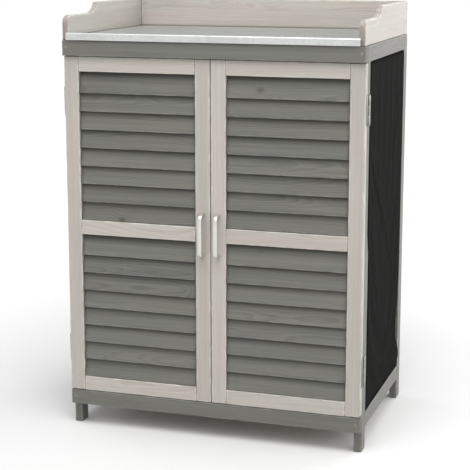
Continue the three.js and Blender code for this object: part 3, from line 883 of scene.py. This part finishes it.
def make_hinge(name, side, level):
    hinge = f"{name}_{level}_hinge"
    frame_low, frame_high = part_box(f"{hinge}_frame_leaf")
    door_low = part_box(f"{hinge}_door_leaf")[0]
    pin_low, pin_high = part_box(f"{hinge}_pin")
    axis = (pin_low + pin_high) / 2
    height = frame_high.z - frame_low.z
    third, gap = height / 3, KNUCKLE_GAP
    inner = min(abs(frame_low.x), abs(frame_high.x))
    flat = sorted([side * inner, side * (inner + LEAF_T)])
    outer_face = side * (inner + LEAF_T)
    levels = {
        "frame": [(0, third - gap), (2 * third + gap, height)],
        "door": [(third + gap / 2, 2 * third - gap / 2)],
    }
    spans = {
        "frame": (axis.y + LEAF_CLEAR, frame_high.y),
        "door": (door_low.y, axis.y - LEAF_CLEAR),
    }
    bodies = {"frame": "cabinet", "door": f"{name}_door"}
    for kind, (start, stop) in spans.items():
        low = Vector((flat[0], start, frame_low.z))
        high = Vector((flat[1], stop, frame_high.z))
        shells = [leaf_plate(low, high)]
        for foot, top in levels[kind]:
            shells.append(knuckle(axis, frame_low.z + foot, frame_low.z + top))
            tab = (axis.y, start + TAB_LAP) if kind == "frame" else (stop - TAB_LAP, axis.y)
            tab_low = (flat[0], tab[0], frame_low.z + foot)
            tab_high = (flat[1], tab[1], frame_low.z + top)
            shells.append(board(tab_low, tab_high, radius=0.3 * MM))
        screw_y = (start + stop) / 2 + (1.5 * MM if kind == "frame" else -1 * MM)
        for lift in (-LEAF_SCREW_LIFT, LEAF_SCREW_LIFT):
            place = (outer_face, screw_y, axis.z + lift)
            shells.append(screw(place, (side, 0, 0), LEAF_SCREW_R))
        node = f"{hinge}_{kind}_leaf"
        piece(node + ".formed", shells, "hinge_metal", bodies[kind], [node])
    half = (pin_high.z - pin_low.z) / 2
    shaft, head, cap, bevel = 1.5 * MM, 2.6 * MM, 1.1 * MM, 0.6 * MM
    profile = [(0, -half), (head * 0.6, -half), (head, -half + bevel), (head, -half + cap)]
    profile += [(shaft, -half + cap), (shaft, half - cap)]
    profile += [(head, half - cap), (head, half - bevel), (head * 0.6, half), (0, half)]
    pin = lathe(profile).moved(Matrix.Translation(axis))
    piece(f"{hinge}_pin.turned", pin, "hinge_metal", "cabinet", [f"{hinge}_pin"])


def make_catch(name):
    """A magnetic catch: a plastic body with screw ears and two steel plates at its mouth."""
    node = f"magnet_catch_{name}"
    low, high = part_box(node)
    ear, ear_t, wall = 9 * MM, 3 * MM, 3 * MM
    plate_t, plate_depth = 1.2 * MM, 8 * MM
    body_low = (low.x + ear, low.y + 0.8 * MM, low.z)
    body_high = (high.x - ear, high.y, high.z)
    shells = [board(body_low, body_high, radius=1 * MM)]
    thin = high.z - ear_t
    for start, stop in ((low.x, low.x + ear + MM), (high.x - ear - MM, high.x)):
        ear_low = (start, low.y + 3 * MM, thin)
        ear_high = (stop, high.y - 2 * MM, high.z)
        shells.append(board(ear_low, ear_high, radius=0.8 * MM))
    piece(node + ".case", shells, "white_plastic", "cabinet", [node])
    plates = []
    for z in (low.z + 3.5 * MM, high.z - 4.5 * MM):
        start = (body_low[0] + wall, low.y, z)
        stop = (body_high[0] - wall, low.y + plate_depth, z + plate_t)
        plates.append(board(start, stop, radius=0.2 * MM))
    for x in (low.x + ear / 2, high.x - ear / 2):
        plates.append(screw((x, (low.y + high.y) / 2, thin), (0, 0, -1), SMALL_SCREW_R))
    piece(node + ".plates", plates, "hinge_metal", "cabinet")


def make_screws():
    """Screw heads that hold the rails and boards together, at the photo's distances from
    the edges of their boards."""
    top_low, top_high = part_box("top_rail_front")
    foot_low, foot_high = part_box("bottom_rail_front")
    side_low, side_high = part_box("top_rail_right")
    under_low, under_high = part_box("bottom_rail_right")
    splash_low, splash_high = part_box("splash_board_right")
    back_low, back_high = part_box("splash_board_rear")
    middle = (back_low.y + back_high.y) / 2
    forward = (0, -1, 0)
    heads, side_heads = [], []
    for side in SIDES.values():
        facing = (side, 0, 0)
        upper = (side * (top_high.x - 10 * MM), top_low.y, top_low.z + 21 * MM)
        lower = (side * (foot_high.x - 12 * MM), foot_low.y, foot_low.z + 20 * MM)
        heads += [screw(upper, forward), screw(lower, forward)]
        for y in (side_low.y + 25 * MM, side_high.y - 73 * MM):
            side_heads.append(screw((side * side_high.x, y, side_high.z - 8 * MM), facing))
        for y in (under_low.y + 55 * MM, under_high.y - 55 * MM):
            side_heads.append(screw((side * under_high.x, y, under_low.z + 17 * MM), facing))
        for z in (splash_low.z + 32 * MM, splash_high.z - 20 * MM):
            side_heads.append(screw((side * splash_high.x, middle, z), facing, SPLASH_SCREW_R))
    piece("front_screws", heads, "hinge_metal", "cabinet", finish="screw_metal")
    piece("side_screws", side_heads, "hinge_metal", "cabinet", finish="dark_metal")


# ------------ fabric


def blended(value, stops):
    """A smooth curve through (place, height) stops, in rising order of place."""
    places, heights = zip(*stops)
    if value <= places[0]:
        return heights[0]
    for (a, low), (b, high) in zip(stops, stops[1:]):
        if value <= b:
            share = (value - a) / (b - a)
            return low + (high - low) * share * share * (3 - 2 * share)
    return heights[-1]


def settled(points, pinned):
    """Lets a slack grid of cloth hang under gravity between its pinned points."""
    rows, columns = points.shape[:2]
    faces = [
        (i * columns + j, i * columns + j + 1, (i + 1) * columns + j + 1, (i + 1) * columns + j)
        for i in range(rows - 1)
        for j in range(columns - 1)
    ]
    mesh = bpy.data.meshes.new("cloth")
    mesh.from_pydata(points.reshape(-1, 3).tolist(), [], faces)
    cloth = added("cloth", mesh)
    scene = bpy.context.scene
    group = cloth.vertex_groups.new(name="pinned")
    group.add(np.flatnonzero(pinned.ravel()).tolist(), 1.0, "REPLACE")
    settings = cloth.modifiers.new("cloth", "CLOTH").settings
    settings.quality = 6
    settings.mass = 0.12
    settings.tension_stiffness = settings.compression_stiffness = 12
    settings.shear_stiffness = 4
    settings.bending_stiffness = 0.15
    settings.air_damping = 3
    settings.shrink_min = -CLOTH_SLACK
    settings.effector_weights.gravity = CLOTH_PULL
    settings.vertex_group_mass = "pinned"
    for number in range(1, CLOTH_FRAMES + 1):
        scene.frame_set(number)
    shown = cloth.evaluated_get(bpy.context.evaluated_depsgraph_get())
    result = np.array([v.co for v in shown.data.vertices]).reshape(points.shape)
    scene.frame_set(1)
    bpy.data.objects.remove(cloth)
    bpy.data.meshes.remove(mesh)
    return result


def cloth_shell(points, flat):
    """Gives a settled grid its thickness, with a thicker folded hem all round."""
    rows, columns = points.shape[:2]
    width, length = flat
    across = np.linspace(0, width, columns)[None, :] + np.zeros((rows, 1))
    up = np.linspace(0, length, rows)[:, None] + np.zeros((1, columns))
    edge = np.minimum.reduce([across, width - across, up, length - up])
    half = np.where(edge < HEM_W, HEM_T, CLOTH_T)[..., None] / 2
    normal = np.cross(np.gradient(points, axis=0), np.gradient(points, axis=1))
    normal /= np.linalg.norm(normal, axis=2, keepdims=True)
    shell = sheet_shell(points + normal * half, points - normal * half)
    threads = np.stack([across, up, np.zeros((rows, columns))], axis=2)
    shell.grain = sheet_shell(threads, threads).points
    # Painted shade along the edges of the cloth, fading inwards.
    edge_shade = np.clip(1.5 - edge / CLOTH_SHADE_W, 0, 1)[..., None] * [1, 1, 1]
    shell.look[:, 3] = sheet_shell(edge_shade, edge_shade).points[:, 0]
    return shell


def fold_depth(across, up, seed):
    """Soft upright folds, whose phase wanders up the cloth, and two slanting tension creases."""
    wander = 1.1 * math.sin(2.1 * up + seed) + 0.6 * math.sin(5.3 * up + 2 * seed)
    waves = math.sin(95 * across + wander + seed)
    waves += 0.6 * math.sin(173 * across - 1.6 * wander + 2.4 * seed)
    waves += 0.35 * math.sin(268 * across + 2.2 * wander)
    for start, width in ((0.36 + 0.05 * seed, 0.011), (0.78, 0.016)):
        waves += 2.2 * math.exp(-(((across + 0.85 * up - start) / width) ** 2))
    return FOLD * waves


def edges_of(points):
    """Marks the outer rows and columns of a grid."""
    marked = np.zeros(points.shape[:2], bool)
    marked[[0, -1], :] = marked[:, [0, -1]] = True
    return marked


def refined(points):
    """Puts a smooth extra line between each two lines of a grid."""
    for axis in (0, 1):
        lines = np.moveaxis(points, axis, 0)
        before = np.concatenate([2 * lines[:1] - lines[1:2], lines[:-2]])
        after = np.concatenate([lines[2:], 2 * lines[-1:] - lines[-2:-1]])
        finer = np.empty((2 * len(lines) - 1, *lines.shape[1:]))
        finer[::2] = lines
        finer[1::2] = (9 * (lines[:-1] + lines[1:]) - before - after) / 16
        points = np.moveaxis(finer, 0, axis)
    return points


def hang(node, points, flat):
    """Adds a settled cloth as a piece of its own."""
    shell = cloth_shell(refined(points), flat)
    made = piece(node + ".cloth", shell, "black_fabric", "cabinet", [node])


def make_side_fabric():
    """The side panels. The front edge laps over the post; lower down the cloth slips behind
    it, and the rear edge is drawn in above a bulge at its foot."""
    low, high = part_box("side_fabric_right")
    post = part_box("post_front_right")[1]
    face, height = post.x, high.z - low.z
    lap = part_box("right_upper_hinge_frame_leaf")[1].y + 0.8 * MM
    tucked = post.y + CLEAR
    corner, fade = 15 * MM, 60 * MM  # rounding at the top, and where the folds fade in
    pucker, lift, wall = 1.4 * MM, 0.7 * MM, 17 * MM
    rows, columns = 108, 52
    points = np.zeros((rows, columns, 3))
    for i in range(rows):
        up = i / (rows - 1)
        start = blended(up, [(0, tucked), (0.44, tucked), (0.53, lap), (1, lap)])
        rounded = 0.6 * max(0, corner - (1 - up) * height)
        drawn_in = blended(up, REAR_EDGE)
        for j in range(columns):
            across = j / (columns - 1)
            y = start + (high.y - rounded - start) * across
            free = min(1, 8 * min(up, 1 - up), 6 * (1 - across), max(0, (y - tucked) / fade))
            inset = drawn_in * blended(across, [(0.55, 0), (1, 1)])
            inset += pucker * blended(across, [(0, 0), (0.2, 1), (0.6, 1), (1, 0)])
            proud = lift * blended((y - lap) / (post.y - lap + 4 * MM), [(0.8, 1), (1, 0)])
            x = face + proud - inset + fold_depth(y, up * height, 0.4) * free
            points[i, j] = (x, y, low.z + up * height)
    points = settled(points, edges_of(points) | (points[:, :, 1] < post.y + 2 * MM))
    over_post = points[:, :, 1] < post.y + 1.5 * MM
    nearest = np.where(over_post, face + 0.5 * MM, face - wall)
    points[:, :, 0] = np.clip(points[:, :, 0], nearest, face + 2.2 * MM)
    flat = (high.y - (lap + tucked) / 2, height)
    for name, side in SIDES.items():
        hang(f"side_fabric_{name}", points * (side, 1, 1), flat)


def make_back_fabric():
    """The back panel, held at all four edges between the rear posts and rails."""
    low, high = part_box("back_fabric")
    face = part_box("post_rear_right")[1].y
    width, height = high.x - low.x, high.z - low.z
    inset, wall = 2.6 * MM, 15 * MM
    rows, columns = 100, 84
    points = np.zeros((rows, columns, 3))
    for i in range(rows):
        up = i / (rows - 1)
        for j in range(columns):
            across = j / (columns - 1)
            free = min(1, 8 * min(up, 1 - up), 7 * min(across, 1 - across))
            y = face - inset + fold_depth(width * across, up * height, 1.9) * free
            points[i, j] = (low.x + width * across, y, low.z + up * height)
    points = settled(points, edges_of(points))
    points[:, :, 1] = np.clip(points[:, :, 1], face - wall, face + 1.6 * MM)
    rests = [f"post_rear_{name}.board" for name in SIDES]
    rests += ["top_rail_rear.board", "bottom_rail_rear.board"]
    hang("back_fabric", points, (width, height))


make_frame()
make_inside()
make_splash()
make_worktop()
for name, side in SIDES.items():
    make_door(name, side)
    for level in ("lower", "upper"):
        make_hinge(name, side, level)
    make_catch(name)
make_screws()
make_side_fabric()
make_back_fabric()

# ------------ stage


FLOOR_HALF = 300
FLOOR_NEAR, FLOOR_FAR = 0.8, 4.5  # distances between which the floor turns paler
SKY = [(0.1, 1.0), (0.5, 0.25)]  # brightness of the world by height
SUN_POWER, SUN_SPREAD, SUN_RUNS = 3.0, math.radians(75), (-0.18, 0.46, -0.87)
MIDDLE = (0, 0, 0.6)
LAMPS = [  # name, place, target, size and power in watts
    ("above", (0.3, -1.6, 3.2), MIDDLE, 1.6, 40),
    ("beside", (2.3, 3.0, 2.1), MIDDLE, 2.6, 66),
    ("left", (-3.4, 1.2, 1.6), (-0.6, 0.2, 0), 2.0, 30),
    ("right", (3.6, 0.4, 1.8), MIDDLE, 2.4, 44),
]
CAMERA_PLACE = (1.0594, -3.3376, 1.208)
CAMERA_DOWN, CAMERA_TURN = math.radians(11.22), math.radians(17.8)
SENSOR_W, LENS, SHIFT = 36, 105.3, -0.03


def facing_along(direction):
    return direction.to_track_quat("-Z", "Y").to_euler()


def area_light(name, place, target, size, power):
    light = bpy.data.lights.new(name, "AREA")
    light.shape, light.size, light.energy = "DISK", size, power
    lamp = added(name, light)
    lamp.location = place
    lamp.rotation_euler = facing_along(Vector(target) - Vector(place))


def make_floor():
    mesh = bpy.data.meshes.new("floor")
    corners = [(x * FLOOR_HALF, y * FLOOR_HALF, 0) for x, y in ((-1, -1), (1, -1), (1, 1), (-1, 1))]
    mesh.from_pydata(corners, [], [(0, 1, 2, 3)])
    floor = added("floor", mesh)
    t = Tree("floor paint")
    place = t.add("TexCoord", {}, 3)
    distance = t.add("VectorMath", {0: place}, 1, operation="LENGTH")
    away = t.curve(distance, FLOOR_NEAR, FLOOR_FAR)
    paint = t.mix(away, srgb("d2d2d2"), srgb("fafafa"))
    speck = t.mix(t.noise(place, 3), srgb("ffffff"), srgb("fafafa"))
    mesh.materials.append(t.done(Base_Color=t.mix(1.0, paint, speck, "MULTIPLY"), Roughness=0.6))


def make_light():
    world = bpy.data.worlds.new("studio")
    world.use_nodes = True
    world.node_tree.nodes["Background"].inputs[1].default_value = 1.0
    nodes, links = world.node_tree.nodes, world.node_tree.links
    height = nodes.new("ShaderNodeSeparateXYZ")
    links.new(nodes.new("ShaderNodeTexCoord").outputs["Generated"], height.inputs[0])
    ramp = nodes.new("ShaderNodeValToRGB")
    for element, (place, level) in zip(ramp.color_ramp.elements, SKY):
        element.position, element.color = place, (level, level, level, 1)
    links.new(height.outputs["Z"], ramp.inputs[0])
    links.new(ramp.outputs[0], nodes["Background"].inputs[0])
    bpy.context.scene.world = world
    sun = bpy.data.lights.new("overhead", "SUN")
    sun.energy, sun.angle = SUN_POWER, SUN_SPREAD
    added("overhead", sun).rotation_euler = facing_along(Vector(SUN_RUNS))
    for settings in LAMPS:
        area_light(*settings)


def make_camera():
    data = bpy.data.cameras.new("camera")
    data.sensor_width, data.lens, data.shift_y = SENSOR_W, LENS, SHIFT
    camera = added("camera", data)
    camera.location = CAMERA_PLACE
    camera.rotation_euler = (math.pi / 2 - CAMERA_DOWN, 0, CAMERA_TURN)
    bpy.context.scene.camera = camera


make_floor()
make_light()
make_camera()
bpy.context.scene.view_settings.view_transform = "Standard"
